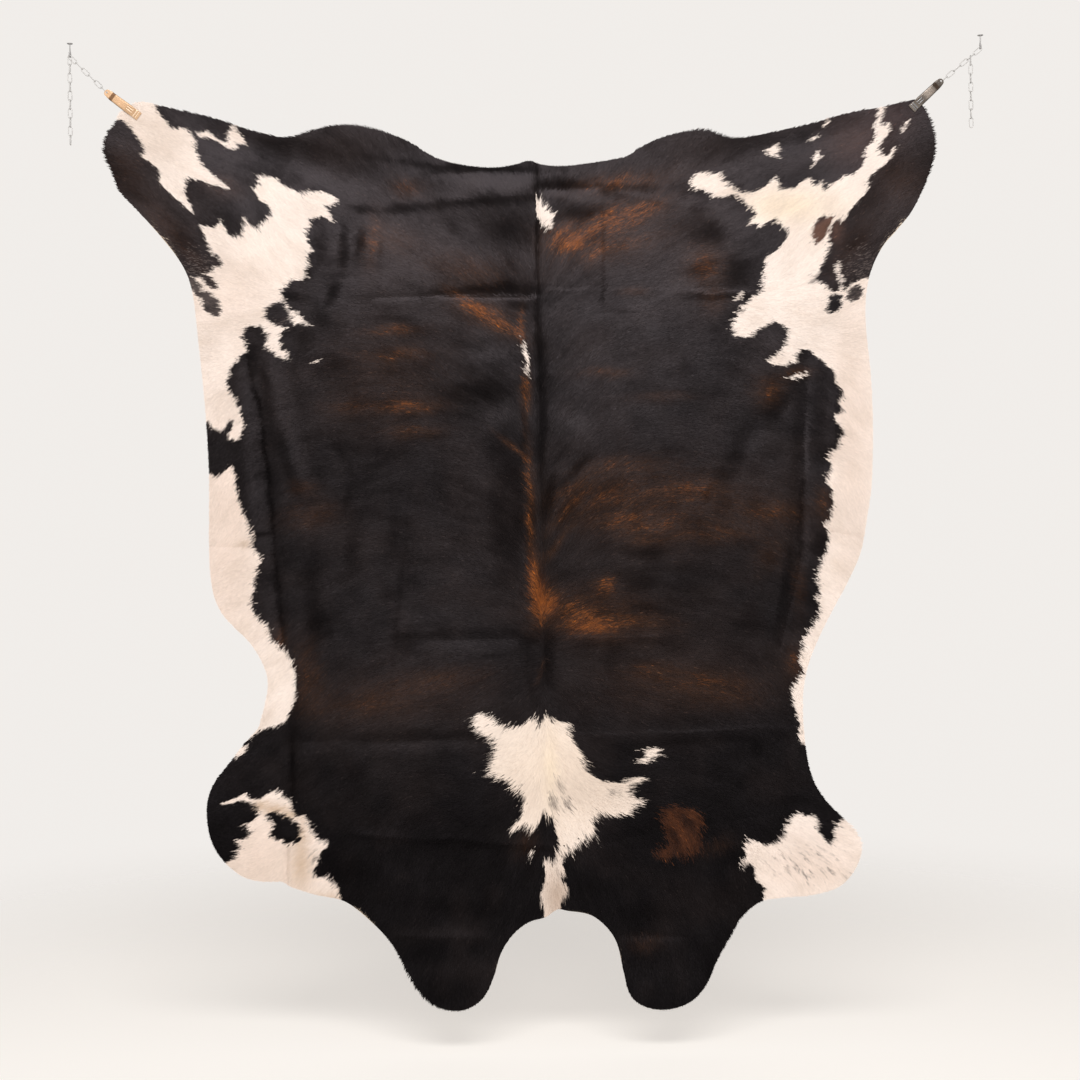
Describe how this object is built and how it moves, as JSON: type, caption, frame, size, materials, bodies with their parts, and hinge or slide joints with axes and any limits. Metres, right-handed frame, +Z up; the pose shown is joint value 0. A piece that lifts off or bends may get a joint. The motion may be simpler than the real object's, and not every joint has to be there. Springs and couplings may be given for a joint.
{
  "type": "cowhide rug hung from spring clips, chains and ceiling hooks",
  "caption": "Cowhide rug of natural outline, black and white with brown brindle, hung hair side out by its fore shanks from spring clips, light chains and ceiling hooks.",
  "frame": {"origin": "on the ceiling, midway between the two ceiling hooks", "axes": "+Z up, along the hang; +X to the viewer's right across the hide; the hair side faces -Y and the bare flesh side faces +Y"},
  "size_m": [2.222, 0.0467, 2.3471],
  "materials": {
    "cowhide": "hair-on hide, short glossy hair, black with white and brown markings; bare suede flesh side",
    "clip_steel": "bright nickel-plated pressed steel",
    "clip_warm_steel": "warm-toned plated pressed steel",
    "spring_steel": "drawn spring wire",
    "chain_steel": "zinc-plated wire",
    "hook_steel": "white-coated steel wire"
  },
  "bodies": {
    "root": {"hide": "cowhide", "hook_left": "hook_steel", "hook_right": "hook_steel", "chain_left_run_1": "chain_steel", "chain_left_run_2": "chain_steel", "chain_left_run_3": "chain_steel", "chain_left_run_4": "chain_steel", "chain_left_run_5": "chain_steel", "chain_left_run_6": "chain_steel", "chain_left_tail_1": "chain_steel", "chain_left_tail_2": "chain_steel", "chain_left_tail_3": "chain_steel", "chain_left_tail_4": "chain_steel", "chain_left_tail_5": "chain_steel", "chain_left_tail_6": "chain_steel", "chain_left_tail_7": "chain_steel", "chain_left_tail_8": "chain_steel", "chain_left_tail_9": "chain_steel", "chain_left_tail_10": "chain_steel", "chain_right_run_1": "chain_steel", "chain_right_run_2": "chain_steel", "chain_right_run_3": "chain_steel", "chain_right_run_4": "chain_steel", "chain_right_run_5": "chain_steel", "chain_right_run_6": "chain_steel", "chain_right_tail_1": "chain_steel", "chain_right_tail_2": "chain_steel", "chain_right_tail_3": "chain_steel", "chain_right_tail_4": "chain_steel", "chain_right_tail_5": "chain_steel", "chain_right_tail_6": "chain_steel", "chain_right_tail_7": "chain_steel", "chain_right_tail_8": "chain_steel", "clip_left_front": "clip_warm_steel", "clip_left_back": "clip_warm_steel", "clip_left_spring": "spring_steel", "clip_right_front": "clip_steel", "clip_right_back": "clip_steel", "clip_right_spring": "spring_steel"}
  },
  "joints": []
}
